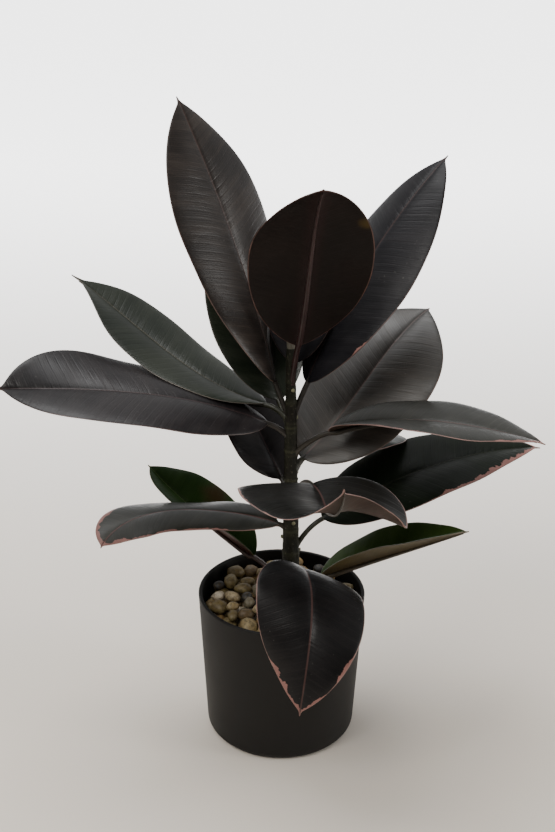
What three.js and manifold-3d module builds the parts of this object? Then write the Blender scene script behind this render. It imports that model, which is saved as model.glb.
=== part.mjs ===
// A potted rubber plant (Ficus elastica): a tapered cylindrical pot filled with potting mix, a bed of gravel
// with loose pebbles on it, and one upright woody stem that carries leathery leaves and a terminal bud.
// Sizes are in millimetres and angles in degrees. +Z is up and the origin is the centre of the pot's underside.
import * as THREE from "three";
import { mergeVertices } from "three/addons/utils/BufferGeometryUtils.js";
import Module from "manifold-3d";

const wasm = await Module();
wasm.setup();

// ---------------------------------------------------------------- driving dimensions
const GAP = 0.3; // clearance between pieces that touch

const POT = {
  height: 119,
  rimRadius: 65,
  baseRadius: 58.5,
  wall: 3,
  floor: 5,
  footRounding: 6, // rounding between the side and the underside
  innerRounding: 4,
};

const GRAVEL_DEPTH = 11; // from the rim down to the tops of the pebbles
const BED_THICKNESS = 12;
const PEBBLE = { count: 36, length: 15, width: 12, height: 8, spread: 0.22 };

const STEM = {
  x: 7.2, // where it leaves the gravel
  y: 0,
  topX: 4.6,
  buriedDepth: 45,
  height: 212, // above the gravel
  baseRadius: 7.3,
  topRadius: 3.3,
  scarHeight: 1.6,
  scarSwelling: 0.45,
};
const SCARS = [26, 45, 64, 88, 107, 131, 150, 170, 187]; // heights of the ring scars above the gravel

const BUD = { radius: 3, length: 46, lean: 4 };

const BLADE_THICKNESS = 0.8;
const MARGIN_THICKNESS = 0.3;
const BULGE = 0.05; // how far each half of a blade swells upwards, as a share of its width
const MIDRIB_DEPTH = 1.6; // how far the midrib stands out below the blade at its base
const PETIOLE_RADIUS = 2.1;
const DRIP_TIP = 0.1; // half-width of the drawn-out tip as a share of the blade's half-width

// Each leaf: `height` of its node above the gravel, `heading` seen from above, counter-clockwise from +X.
// `lift` is the angle at which the petiole leaves the stem, and `petiole`, `length` and `width` are sizes.
// `rise`, `sweep`, `roll` and `fold` are given at the base, the middle and the tip of the blade: the midrib's
// angle above the horizontal, its turn away from the heading, the blade's turn about the midrib, and the
// angle at which its halves rise from the midrib.
// Longer lists are given at even steps. `widest` is where the blade is widest and `neck` where its drip tip
// starts, both along the blade, and the two powers of `taper` are how full it stays between them.
const LEAVES = [
  { name: "leaf_top_front", height: 177, heading: 293, lift: 78, petiole: 38, length: 154.3, width: 85,
    rise: [68, 63, 36], sweep: [0, -15, -14], roll: [-10, -4, 6], fold: [8, -3, 8], widest: 0.5 },
  { name: "leaf_top_left", height: 154, heading: 149, lift: 62, petiole: 27, length: 216, width: 88,
    rise: [73, 68, 60], sweep: [0, 4, -5], roll: [26, -12, -4], fold: [-12, -4, -6], widest: 0.52 },
  { name: "leaf_top_right", height: 153, heading: 31, lift: 67, petiole: 28, length: 197, width: 86,
    rise: [65, 54, 37], sweep: [0, -3, 6], roll: [-6, 6, 0], fold: [0, -14, -3], widest: 0.44 },
  { name: "leaf_top_back", height: 173, heading: 74, lift: 70, petiole: 22, length: 100, width: 52,
    rise: [66, 62, 58], sweep: 0, roll: 0, fold: 10 },
  { name: "leaf_upper_left_back", height: 145, heading: 123, lift: 49, petiole: 22, length: 136, width: 76,
    rise: [56, 56, 48], sweep: 0, roll: -6, fold: 8, widest: 0.48 },
  { name: "leaf_left_front", height: 141, heading: 187, lift: 42, petiole: 17, length: 201, width: 90,
    rise: [26, 8, 2], sweep: 0, roll: [-12, -8, -28], fold: [-6, 0, 26], widest: 0.52,
    neck: 0.93, taper: [3.0, 0.8] },
  { name: "leaf_left_back", height: 154, heading: 159, lift: 40, petiole: 19, length: 187, width: 70,
    rise: [6, 26, 33], sweep: [0, -10, 6], roll: [8, 0, 3], fold: [8, 2, 20], widest: 0.5,
    neck: 0.9, taper: [2.6, 0.88] },
  { name: "leaf_right_broad", height: 108, heading: 34, lift: 67, petiole: 12, length: 157.3, width: 103,
    rise: [30, 43, 21], sweep: [0, 4, 5], roll: [16, 14, 6], fold: [-9, -5, 0], widest: 0.58 },
  { name: "leaf_right_front", height: 126, heading: 347, lift: 46, petiole: 32, length: 159, width: 72,
    rise: [25, 1, -12], sweep: 0, roll: [-12, -3, -8], fold: [26, 6, 11], widest: 0.52 },
  { name: "leaf_left_inner", height: 89, heading: 131, lift: 60, petiole: 12, length: 92, width: 66,
    rise: [46, 50, 54], sweep: 0, roll: 0, fold: 10 },
  { name: "leaf_right_back", height: 105, heading: 50, lift: 55, petiole: 22, length: 125, width: 70,
    rise: [0, -12, -24], sweep: 0, roll: 0, fold: 5 },
  { name: "leaf_middle_front", height: 69, heading: 290, lift: 75, petiole: 66, length: 127, width: 120,
    rise: [6, 11, 18, 22, 94], sweep: [0, -17, 16], roll: [2, -15, 2], fold: [12, 1, 14],
    widest: 0.31 },
  { name: "leaf_right_low", height: 42, heading: 16, lift: 60, petiole: 32, length: 187, width: 92,
    rise: [27, 12, -3], sweep: [0, 2, -7], roll: [11, 2, -2], fold: [5, 4, 10], widest: 0.45 },
  { name: "leaf_left_low", height: 55, heading: 190, lift: 75, petiole: 12, length: 147, width: 59,
    rise: [24, 5, -3, -14, -40], sweep: [0, -12, 44], roll: [-14, 5, -8], fold: [8, -10, 14],
    widest: 0.64, taper: [3.0, 0.8] },
  { name: "leaf_left_bottom", height: 8, heading: 147, lift: 38, petiole: 34, length: 116, width: 60,
    rise: [19, 29, 31], sweep: [0, 4, -8], roll: [-12, -2, -10], fold: [46, 31, 24] },
  { name: "leaf_front_hanging", height: 15, heading: 285, lift: 57, petiole: 42, length: 125, width: 82,
    rise: [20, -49, -75], sweep: [0, -22, -48], roll: [-30, -8, -12], fold: [3, -5, -2],
    widest: 0.25 },
  { name: "leaf_right_bottom", height: 7, heading: 5, lift: 38, petiole: 21, length: 120, width: 52,
    rise: [20, 19, 17], sweep: [0, -4, 1], roll: [-4, 4, -2], fold: [40, 36, 32] },
];

// ---------------------------------------------------------------- shared helpers
const rad = THREE.MathUtils.degToRad;
const lerp = THREE.MathUtils.lerp;
const GRAVEL_TOP = POT.height - GRAVEL_DEPTH;
const BED_TOP = GRAVEL_TOP - PEBBLE.height;
const SOIL_TOP = BED_TOP - BED_THICKNESS;

// A value given as one number, at the base, middle and tip, or at more even steps; s runs from 0 to 1.
function along(value, s) {
  if (typeof value === "number") return value;
  if (value.length > 3) {
    const place = s * (value.length - 1);
    const k = Math.min(Math.floor(place), value.length - 2);
    return lerp(value[k], value[k + 1], place - k);
  }
  const [a, b, c] = value;
  return a * (1 - s) * (1 - 2 * s) + b * 4 * s * (1 - s) + c * s * (2 * s - 1);
}

function solidOf(geometry) {
  const bare = geometry.clone();
  for (const name of Object.keys(bare.attributes)) if (name !== "position") bare.deleteAttribute(name);
  const merged = mergeVertices(bare.index ? bare.toNonIndexed() : bare, 1e-4);
  return new wasm.Manifold(
    new wasm.Mesh({
      numProp: 3,
      vertProperties: new Float32Array(merged.attributes.position.array),
      triVerts: new Uint32Array(merged.index.array),
    }),
  );
}

function geometryOf(solid) {
  const mesh = solid.getMesh();
  const geometry = new THREE.BufferGeometry();
  geometry.setAttribute("position", new THREE.BufferAttribute(mesh.vertProperties, 3));
  geometry.setIndex(new THREE.BufferAttribute(mesh.triVerts, 1));
  geometry.computeVertexNormals();
  return geometry;
}

// A solid turned about +Z from [radius, height] points listed from the lower axis point upwards.
function turned(profile, segments) {
  const points = profile.map(([radius, z]) => new THREE.Vector2(radius, z));
  return new THREE.LatheGeometry(points, segments).rotateX(Math.PI / 2);
}

function arcPoints(centreRadius, centreZ, radius, from, to, steps) {
  return Array.from({ length: steps + 1 }, (_, i) => {
    const angle = rad(lerp(from, to, i / steps));
    return [centreRadius + radius * Math.cos(angle), centreZ + radius * Math.sin(angle)];
  });
}

// ---------------------------------------------------------------- pot, potting mix and gravel
function potOuterRadius(z) {
  return lerp(POT.baseRadius, POT.rimRadius, z / POT.height);
}

function potInnerRadius(z) {
  return potOuterRadius(z) - POT.wall;
}

function potGeometry() {
  const foot = POT.footRounding;
  const lip = POT.wall / 2;
  const inner = POT.innerRounding;
  const lipZ = POT.height - lip;
  return turned(
    [
      [0, 0],
      ...arcPoints(potOuterRadius(foot) - foot, foot, foot, -90, 0, 5),
      ...arcPoints(potOuterRadius(lipZ) - lip, lipZ, lip, 0, 180, 6),
      ...arcPoints(potInnerRadius(POT.floor + inner) - inner, POT.floor + inner, inner, 0, -90, 3),
      [0, POT.floor],
    ],
    48,
  );
}

function pottingMixGeometry() {
  const low = POT.floor + GAP;
  const corner = POT.innerRounding;
  return turned(
    [
      [0, low],
      [potInnerRadius(low) - corner - GAP, low],
      [potInnerRadius(low + corner) - GAP, low + corner],
      [potInnerRadius(SOIL_TOP) - GAP, SOIL_TOP],
      [0, SOIL_TOP],
    ],
    36,
  );
}

function gravelBedGeometry() {
  const low = SOIL_TOP + GAP;
  return turned(
    [
      [0, low],
      [potInnerRadius(low) - GAP, low],
      [potInnerRadius(BED_TOP) - GAP, BED_TOP],
      [0, BED_TOP],
    ],
    36,
  );
}

// Loose pebbles spread over the bed on a sunflower spiral, each turned and sized a little differently.
function pebbles() {
  const found = [];
  const random = (k, n) => Math.abs(Math.sin(k * 12.9898 + n * 78.233) * 43758.5453) % 1;
  const reach = potInnerRadius(BED_TOP) - PEBBLE.length / 2 - GAP;
  const clear = STEM.baseRadius + PEBBLE.length / 2 + GAP;
  const longest = Math.min(PEBBLE.length, (1.62 * reach) / Math.sqrt(PEBBLE.count + 1.6) - GAP);
  for (let k = 0, placed = 0; placed < PEBBLE.count; k++) {
    const radius = reach * Math.sqrt((k + 0.6) / (PEBBLE.count + 1.6));
    const angle = k * Math.PI * (3 - Math.sqrt(5));
    const x = radius * Math.cos(angle);
    const y = radius * Math.sin(angle);
    if (Math.hypot(x - STEM.x, y - STEM.y) < clear) continue;
    const size = 1 - PEBBLE.spread * random(k, 1);
    const half = new THREE.Vector3(longest, PEBBLE.width, PEBBLE.height).multiplyScalar(size / 2);
    const stone = new THREE.IcosahedronGeometry(1, 1);
    stone.scale(half.x, half.y, half.z * (1 - 0.1 * random(k, 2)));
    placed++;
    found.push({ geometry: stone, turn: Math.PI * random(k, 3), x, y, z: BED_TOP + GAP + half.z });
  }
  return found;
}

// ---------------------------------------------------------------- stem and bud
function stemRadius(height) {
  const taper = lerp(STEM.baseRadius, STEM.topRadius, Math.max(0, height) / STEM.height);
  const nearest = Math.min(...SCARS.map((scar) => Math.abs(scar - height)));
  return taper + STEM.scarSwelling * Math.max(0, 1 - nearest / STEM.scarHeight);
}

function stemGeometry(extra = 0) {
  const heights = [-STEM.buriedDepth, 0, STEM.height];
  for (const scar of SCARS) heights.push(scar - STEM.scarHeight, scar, scar + STEM.scarHeight);
  heights.sort((a, b) => a - b);
  const side = heights.map((height) => [stemRadius(height) + extra, height]);
  return turned([[0, heights[0] - extra], ...side, [0, STEM.height + extra]], 16);
}

// The stem's own frame: +Z along its slight lean, from the gravel up.
const stemFrame = new THREE.Group();
stemFrame.position.set(STEM.x, STEM.y, GRAVEL_TOP);
stemFrame.rotation.y = Math.atan2(STEM.topX - STEM.x, STEM.height);
stemFrame.updateMatrixWorld(true);

const stemAt = (height) => new THREE.Vector3(0, 0, height).applyMatrix4(stemFrame.matrixWorld);

function budGeometry() {
  const steps = 8;
  const side = [];
  for (let i = 0; i < steps; i++) {
    const s = i / steps;
    side.push([BUD.radius * Math.pow(1 - s, 0.6) * (1 + 0.25 * Math.sin(Math.PI * s)), BUD.length * s]);
  }
  return turned([[0, 0], ...side, [0, BUD.length]], 12);
}

// ---------------------------------------------------------------- leaves
// Half-width of a blade as a share of its greatest, s from the base to the tip: a rounded base, full sides
// and a broad point that ends in a short drawn-out drip tip.
function outline(s, { widest = 0.45, neck = 0.96, taper = [2.3, 0.9] }) {
  if (s < widest) return Math.pow(1 - Math.pow(1 - s / widest, 2.1), 0.62);
  const u = (s - widest) / (1 - widest);
  const body = Math.pow(Math.max(0, 1 - Math.pow(u / neck, taper[0])), taper[1]);
  return Math.hypot(body, DRIP_TIP * Math.min(1, (1 - u) / 0.15)) / Math.hypot(1, DRIP_TIP);
}

// The direction of the midrib or petiole, from its heading and its angle above the horizontal.
function direction(heading, rise) {
  const flat = Math.cos(rad(rise));
  return new THREE.Vector3(flat * Math.cos(rad(heading)), flat * Math.sin(rad(heading)), Math.sin(rad(rise)));
}

// Points and frames along a leaf, from inside the stem to the tip: the petiole first, and then the blade.
function leafStations(leaf, petioleSteps, bladeSteps) {
  const stations = [];
  const fineSteps = 12; // the curve is followed this many times finer than its stations
  const point = stemAt(leaf.height);
  const baseRise = along(leaf.rise, 0);
  const walk = (steps, length, rise, sweep, place) => {
    for (let i = 0; i <= steps; i++) {
      const s = i / steps;
      const heading = leaf.heading + sweep(s);
      const forward = direction(heading, rise(s));
      const level = new THREE.Vector3(Math.sin(rad(heading)), -Math.cos(rad(heading)), 0);
      place(s, point.clone(), forward, level);
      for (let k = 0; i < steps && k < fineSteps; k++) {
        const mid = (i + (k + 0.5) / fineSteps) / steps;
        const step = direction(leaf.heading + sweep(mid), rise(mid));
        point.addScaledVector(step, length / steps / fineSteps);
      }
    }
  };
  const inside = stemRadius(leaf.height);
  walk(
    petioleSteps,
    leaf.petiole + inside,
    (s) => lerp(leaf.lift, baseRise, s * s),
    () => along(leaf.sweep, 0),
    (s, at, forward, level) => stations.push({ s: -1, t: s, at, forward, level }),
  );
  walk(
    bladeSteps,
    leaf.length,
    (s) => along(leaf.rise, s),
    (s) => along(leaf.sweep, s),
    (s, at, forward, level) => s > 0 && stations.push({ s, at, forward, level }),
  );
  return stations;
}

const ACROSS = [-1, -0.68, -0.34, 0, 0.34, 0.68, 1]; // places across the blade, from margin to margin

// One closed ring of points around a leaf: round at the petiole, and a thin folded section on the blade.
function leafRing(leaf, station) {
  const { s, at, forward } = station;
  const roll = rad(along(leaf.roll, Math.max(0, s)));
  const right = station.level.clone().applyAxisAngle(forward, roll);
  const up = new THREE.Vector3().crossVectors(right, forward);
  const place = (x, z) => at.clone().addScaledVector(right, x).addScaledVector(up, z);
  const around = [...ACROSS, ...ACROSS.slice(1, -1).reverse()];
  if (s < 0) {
    return around.map((v, i) => {
      const side = i < ACROSS.length ? 1 : -1;
      const angle = (Math.PI / 2) * (1 - side * v) * side;
      return place(PETIOLE_RADIUS * Math.cos(angle * side), PETIOLE_RADIUS * Math.sin(angle * side) * side);
    });
  }
  const half = Math.max((leaf.width / 2) * outline(s, leaf), 0.4);
  const fold = rad(along(leaf.fold, s));
  return around.map((v, i) => {
    const reach = Math.abs(v);
    const x = half * reach * Math.cos(fold) * Math.sign(v);
    const flat = half * reach * Math.sin(fold);
    const z = flat + BULGE * half * Math.sin(Math.PI * Math.pow(reach, 0.8));
    const edge = (reach === 1 ? MARGIN_THICKNESS : BLADE_THICKNESS) / 2;
    const rib = v === 0 ? MIDRIB_DEPTH * (1 - s) : 0;
    return place(x, i < ACROSS.length ? z + edge : z - edge - rib);
  });
}

function leafGeometry(leaf) {
  const rings = leafStations(leaf, 4, 14).map((station) => leafRing(leaf, station));
  const count = rings[0].length;
  const positions = rings.flat().flatMap((p) => [p.x, p.y, p.z]);
  const index = [];
  for (let r = 0; r + 1 < rings.length; r++) {
    for (let i = 0; i < count; i++) {
      const a = r * count + i;
      const b = r * count + ((i + 1) % count);
      index.push(a, b, a + count, b, b + count, a + count);
    }
  }
  const last = (rings.length - 1) * count;
  for (let i = 1; i + 1 < count; i++) {
    index.push(0, i + 1, i);
    index.push(last, last + i, last + i + 1);
  }
  const geometry = new THREE.BufferGeometry();
  geometry.setAttribute("position", new THREE.Float32BufferAttribute(positions, 3));
  geometry.setIndex(index);
  return geometry;
}

// ---------------------------------------------------------------- assembly
const finish = (color, roughness) => new THREE.MeshStandardMaterial({ color, roughness, metalness: 0 });
const MATERIALS = {
  pot: finish(0x161514, 0.55),
  mix: finish(0x2a1f18, 0.95),
  gravel: finish(0x7d6f55, 0.8),
  bark: finish(0x2f3020, 0.7),
  bud: finish(0x6e6a58, 0.5),
  leaf: finish(0x2b2729, 0.35),
  greenLeaf: finish(0x22301a, 0.35),
};
const GREEN_LEAVES = ["leaf_left_bottom", "leaf_right_bottom"];

const plant = new THREE.Group();

function add(name, geometry, material, parent = plant) {
  const mesh = new THREE.Mesh(geometry, material);
  mesh.name = name;
  parent.add(mesh);
  return mesh;
}

add("pot", potGeometry(), MATERIALS.pot);

plant.add(stemFrame);
add("stem", stemGeometry(), MATERIALS.bark, stemFrame);
const bud = add("terminal_bud", budGeometry(), MATERIALS.bud, stemFrame);
bud.position.z = STEM.height + GAP;
bud.rotation.x = rad(BUD.lean);

// Room for the stem, in the plant's own frame: the stem with the clearance all round.
const stemRoom = solidOf(stemGeometry(GAP).applyMatrix4(stemFrame.matrixWorld));

add("potting_mix", geometryOf(solidOf(pottingMixGeometry()).subtract(stemRoom)), MATERIALS.mix);
add("gravel_bed", geometryOf(solidOf(gravelBedGeometry()).subtract(stemRoom)), MATERIALS.gravel);

pebbles().forEach(({ geometry, turn, x, y, z }, k) => {
  const pebble = add("pebble_" + String(k + 1).padStart(2, "0"), geometry, MATERIALS.gravel);
  pebble.position.set(x, y, z);
  pebble.rotation.z = turn;
});

for (const leaf of LEAVES) {
  const material = GREEN_LEAVES.includes(leaf.name) ? MATERIALS.greenLeaf : MATERIALS.leaf;
  add(leaf.name, geometryOf(solidOf(leafGeometry(leaf)).subtract(stemRoom)), material);
}

export default plant;
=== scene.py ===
# The potted rubber plant: leathery leaves, woody stem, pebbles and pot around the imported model.
# Lengths are in metres and angles in degrees. +Z is up, and -Y is the plant's front.
import math
import random

import bpy
from mathutils import Matrix, Vector, noise


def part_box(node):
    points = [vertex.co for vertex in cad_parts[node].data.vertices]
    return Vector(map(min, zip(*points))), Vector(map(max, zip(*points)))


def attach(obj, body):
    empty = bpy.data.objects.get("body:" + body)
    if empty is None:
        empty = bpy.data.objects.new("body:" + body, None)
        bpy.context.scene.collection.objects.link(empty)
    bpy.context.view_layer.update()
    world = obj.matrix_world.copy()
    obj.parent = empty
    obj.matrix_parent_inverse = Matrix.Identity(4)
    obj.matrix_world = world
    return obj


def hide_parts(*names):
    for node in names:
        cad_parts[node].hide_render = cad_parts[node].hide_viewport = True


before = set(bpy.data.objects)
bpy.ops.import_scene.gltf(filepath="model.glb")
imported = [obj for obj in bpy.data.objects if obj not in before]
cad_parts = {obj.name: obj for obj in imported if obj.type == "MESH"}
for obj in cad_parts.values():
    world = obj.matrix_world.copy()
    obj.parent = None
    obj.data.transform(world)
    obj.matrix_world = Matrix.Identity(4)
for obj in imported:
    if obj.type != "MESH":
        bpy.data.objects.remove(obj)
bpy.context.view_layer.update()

# ------------------------------------------------------------------ sizes
POT_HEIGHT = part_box("pot")[1].z
RIM_RADIUS = 0.065
BASE_RADIUS = 0.0585
WALL = 0.003
POT_FLOOR = 0.005
POT_SIDES = 128
RIM_ROUNDING = WALL * 0.48
FOOT_ROUNDING = 0.006
INNER_ROUNDING = 0.004

GRAVEL_TOP = POT_HEIGHT - 0.011
GRAVEL_SEED = 11
PEBBLES = 36
PEBBLE_FULLNESS = 1.12
PEBBLE_LIFT = 0.003  # the pebbles are heaped a little above the level of their CAD stones
SMALL_STONE = (0.0050, 0.0085)  # the least and greatest half-length of a loose stone
WALL_GAP = 0.0015
# The layers of loose stones: how many places are tried for a stone, how close neighbours may be as a
# share of their sizes, and how far the layer lies above the gravel's level.
LOOSE_LAYERS = [(2600, 0.80, 0.002), (1500, 0.62, -0.0045), (2600, 0.90, 0.0108)]

STEM_LENGTH = 0.212
STEM_FOOT = Vector((0.0072, 0.0, GRAVEL_TOP))
STEM_HEAD = Vector((0.0046, 0.0, GRAVEL_TOP + STEM_LENGTH))
STEM_BASE_RADIUS = 0.0073
STEM_TOP_RADIUS = 0.0033
STEM_SIDES = 32
STEM_RINGS = 150
STEM_KNOBBLES = 0.00035

# The ring scars of fallen leaves, as heights above the gravel. At each the stem swells between notches.
SCARS = [0.026, 0.045, 0.064, 0.088, 0.107, 0.131, 0.150, 0.170, 0.187]
SCAR_SWELL, SCAR_SWELL_WIDTH = 0.0004, 0.0014
SCAR_NOTCH, SCAR_NOTCH_WIDTH, SCAR_NOTCH_OFFSET = 0.00045, 0.0006, 0.0018
SCAR_LINE_WIDTH = 0.0008
FAINT_LINE_WIDTH, FAINT_LINE_OFFSET = 0.0005, 0.0034

BUD_RADIUS = 0.003
BUD_LEAN = 4
BUD_SINK = 0.0005
BUD_SIDES = 24
BUD_RINGS = 30
SIDE_BUD = 0.0015
SIDE_BUD_LEAN = 55

BLADE_THICKNESS = 0.0008
BULGE = 0.05  # how far each half of a blade arches, as a share of that half's width
RIPPLE = 0.0006
RIPPLE_FADE = 0.02  # a blade whose half-width is less than this ripples less
MARGIN_TURN = 0.0007
MARGIN_TURN_FROM, MARGIN_TURN_OVER = 0.8, 0.2  # shares of the half-width
MIDRIB_GROOVE = 0.0005
MIDRIB_GROOVE_WIDTH = 0.0013
MIDRIB_REACH = 0.96
DRIP_TIP = 0.1
DRIP_TIP_SHARE = 0.15
LEAST_HALF_WIDTH = 0.0003
PETIOLE_RADIUS = 0.0021
PETIOLE_WAIST = 0.94
PETIOLE_FLARE, PETIOLE_FLARE_LENGTH = 0.45, 0.004
PETIOLE_IN_BARK = 0.0012
PALE_FADE = 0.05

# Each leaf: `height` of its node above the gravel and its `heading` seen from above, counter-clockwise
# from +X; the angle `lift` at which the petiole leaves the stem; and along the blade, from its base
# through its middle to its tip, how the midrib rises, turns (sweep) and rolls, and how its halves fold.
# The blade is broadest at `widest` of its length. Past that, `neck` is where its body ends and only the
# drip tip goes on, and `taper` rounds the body's end. `skin` is its finish. `pale` lists pink margins:
# the side of the midrib (1 is the right), where each starts and ends along the blade, and its depth.
LEAVES = {
    "leaf_top_front": dict(
        height=0.177, heading=293, lift=78, petiole=0.038, length=0.1543, width=0.085,
        rise=(68, 63, 36), sweep=(0, -15, -14), roll=(-10, -4, 6), fold=(8, -3, 8), widest=0.5,
        skin="wine", pale=((1, 0.985, 1.0, 0.003), (-1, 0.985, 1.0, 0.003))),
    "leaf_top_left": dict(
        height=0.154, heading=149, lift=62, petiole=0.027, length=0.216, width=0.088,
        rise=(73, 68, 60), sweep=(0, 4, -5), roll=(26, -12, -4), fold=(-12, -4, -6), widest=0.52,
        skin="bronze_sheen"),
    "leaf_top_right": dict(
        height=0.153, heading=31, lift=67, petiole=0.028, length=0.197, width=0.086,
        rise=(65, 54, 37), sweep=(0, -3, 6), roll=(-6, 6, 0), fold=(0, -14, -3), widest=0.44, skin="ink",
        pale=((1, 0.17, 0.27, 0.003),)),
    "leaf_top_back": dict(
        height=0.173, heading=74, lift=70, petiole=0.022, length=0.100, width=0.052,
        rise=(66, 62, 58), sweep=0, roll=0, fold=10, widest=0.45, skin="ink"),
    "leaf_upper_left_back": dict(
        height=0.145, heading=123, lift=49, petiole=0.022, length=0.136, width=0.076,
        rise=(56, 56, 48), sweep=0, roll=-6, fold=8, widest=0.48, skin="fern"),
    "leaf_left_front": dict(
        height=0.141, heading=187, lift=42, petiole=0.017, length=0.201, width=0.090,
        rise=(26, 8, 2), sweep=0, roll=(-12, -8, -28), fold=(-6, 0, 26), widest=0.52, neck=0.93,
        taper=(3, 0.8), skin="plum"),
    "leaf_left_back": dict(
        height=0.154, heading=159, lift=40, petiole=0.019, length=0.187, width=0.070,
        rise=(6, 26, 33), sweep=(0, -10, 6), roll=(8, 0, 3), fold=(8, 2, 20), widest=0.5, neck=0.9,
        taper=(2.6, 0.88), skin="fern"),
    "leaf_right_broad": dict(
        height=0.108, heading=34, lift=67, petiole=0.012, length=0.1573, width=0.103,
        rise=(30, 43, 21), sweep=(0, 4, 5), roll=(16, 14, 6), fold=(-9, -5, 0), widest=0.58,
        skin="slate_sheen"),
    "leaf_right_front": dict(
        height=0.126, heading=347, lift=46, petiole=0.032, length=0.159, width=0.072,
        rise=(25, 1, -12), sweep=0, roll=(-12, -3, -8), fold=(26, 6, 11), widest=0.52, skin="edged_sheen",
        pale=((1, 0.22, 0.50, 0.0020), (1, 0.78, 1.0, 0.0035), (-1, 0.85, 1.0, 0.002))),
    "leaf_left_inner": dict(
        height=0.089, heading=131, lift=60, petiole=0.012, length=0.092, width=0.066,
        rise=(46, 50, 54), sweep=0, roll=0, fold=10, widest=0.45, skin="plum"),
    "leaf_right_back": dict(
        height=0.105, heading=50, lift=55, petiole=0.022, length=0.125, width=0.070,
        rise=(0, -12, -24), sweep=0, roll=0, fold=5, widest=0.45, skin="moss"),
    "leaf_middle_front": dict(
        height=0.069, heading=290, lift=75, petiole=0.066, length=0.127, width=0.120,
        rise=(6, 11, 18, 22, 94), sweep=(0, -17, 16), roll=(2, -11, 14), fold=(12, -3, 10), widest=0.31,
        skin="dusk", pale=((1, 0.15, 0.42, 0.0030), (1, 0.42, 0.8, 0.0012), (-1, 0.45, 0.62, 0.006))),
    "leaf_right_low": dict(
        height=0.042, heading=16, lift=60, petiole=0.032, length=0.187, width=0.092,
        rise=(27, 12, -3), sweep=(0, 2, -7), roll=(11, 2, -2), fold=(5, 4, 10), widest=0.45, skin="moss",
        pale=((1, 0.45, 1.0, 0.0065), (-1, 0.9, 1.0, 0.003))),
    "leaf_left_low": dict(
        height=0.055, heading=190, lift=75, petiole=0.012, length=0.147, width=0.059,
        rise=(24, 5, -3, -14, -40), sweep=(0, -12, 44), roll=(-14, 5, -8), fold=(8, -10, 14), widest=0.64,
        taper=(3, 0.8), skin="edged_sheen",
        pale=((-1, 0.25, 1.0, 0.0022), (1, 0.82, 1.0, 0.0065), (-1, 0.86, 1.0, 0.0065))),
    "leaf_left_bottom": dict(
        height=0.008, heading=147, lift=38, petiole=0.034, length=0.116, width=0.060,
        rise=(19, 29, 31), sweep=(0, 4, -8), roll=(10, 2, -8), fold=(46, 31, 24), widest=0.45,
        skin="fresh"),
    "leaf_front_hanging": dict(
        height=0.015, heading=285, lift=57, petiole=0.042, length=0.125, width=0.082,
        rise=(20, -49, -75), sweep=(0, -22, -48), roll=(-30, -8, -12), fold=(3, -5, -2), widest=0.25,
        skin="night", pale=((1, 0.72, 1.0, 0.0055), (-1, 0.60, 0.76, 0.0035), (-1, 0.85, 1.0, 0.0035))),
    "leaf_right_bottom": dict(
        height=0.007, heading=5, lift=38, petiole=0.021, length=0.120, width=0.052,
        rise=(20, 19, 17), sweep=(0, -4, 1), roll=(-16, -9, -4), fold=(40, 36, 32), widest=0.45,
        skin="green"),
}

# ------------------------------------------------------------------ camera, lights and floor
EYE = Vector((-0.0046, -0.860, 0.6365))
LOOKING_DOWN = 23.28
TILT = 0.57
LENS, SENSOR = 55, 36
FLOOR_SIZE = 40.0
# how strongly the far floor glows: painted light, for the floor is no lamp
FLOOR_GLOW = 3.4
AIR_IN_FRONT, AIR_BEHIND = 0.12, 0.62


def studio():
    """The camera, three soft lights, air that is brighter behind the plant, and the pale floor."""
    bpy.ops.object.camera_add(location=EYE, rotation=(math.radians(90 - LOOKING_DOWN), 0, 0))
    camera = bpy.context.object
    camera.rotation_euler.rotate_axis("Z", math.radians(TILT))
    camera.data.sensor_width = SENSOR
    camera.data.lens = LENS
    camera.data.clip_start = 0.01
    bpy.context.scene.camera = camera

    def softbox(name, place, aim, size, power, tint=(1, 1, 1)):
        bpy.ops.object.light_add(type="AREA", location=place)
        lamp = bpy.context.object
        lamp.name = name
        lamp.rotation_euler = (Vector(aim) - Vector(place)).to_track_quat("-Z", "Y").to_euler()
        lamp.data.shape = "RECTANGLE"
        lamp.data.size, lamp.data.size_y = size
        lamp.data.energy = power
        lamp.data.color = tint

    softbox("overhead_softbox", (-0.5, 0.5, 2.5), (0, 0.1, 0), (1.8, 1.5), 43)
    softbox("front_softbox", (-0.9, -1.3, 2.0), (0, 0, 0.25), (1.3, 0.8), 25, (1, 0.97, 0.92))
    softbox("right_softbox", (1.9, -0.5, 0.5), (0, 0, 0.1), (0.5, 1.2), 17, (1, 0.98, 0.95))

    world = bpy.data.worlds.new("studio_air")
    world.use_nodes = True
    tree = world.node_tree
    air = tree.nodes["Background"]
    towards = node(tree, "SeparateXYZ", {0: node(tree, "TexCoord").outputs["Generated"]})
    behind = math_node(tree, "MULTIPLY_ADD", towards.outputs[2], 0.5, towards.outputs[1])
    tree.links.new(between(tree, behind, -0.5, 0.6, AIR_IN_FRONT, AIR_BEHIND), air.inputs["Strength"])
    air.inputs["Color"].default_value = (1, 1, 1, 1)
    bpy.context.scene.world = world

    floor = fresh(bpy.ops.mesh.primitive_plane_add, "floor", size=FLOOR_SIZE)
    floor.data.materials.append(floor_finish())


# ------------------------------------------------------------------ modelling helpers
def fresh(add, name, **settings):
    """Adds a primitive with nothing else selected, and names it."""
    bpy.ops.object.select_all(action="DESELECT")
    add(**settings)
    piece = bpy.context.object
    piece.name = name
    piece.data.name = name
    return piece


def only(piece):
    bpy.ops.object.select_all(action="DESELECT")
    piece.select_set(True)
    bpy.context.view_layer.objects.active = piece


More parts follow.
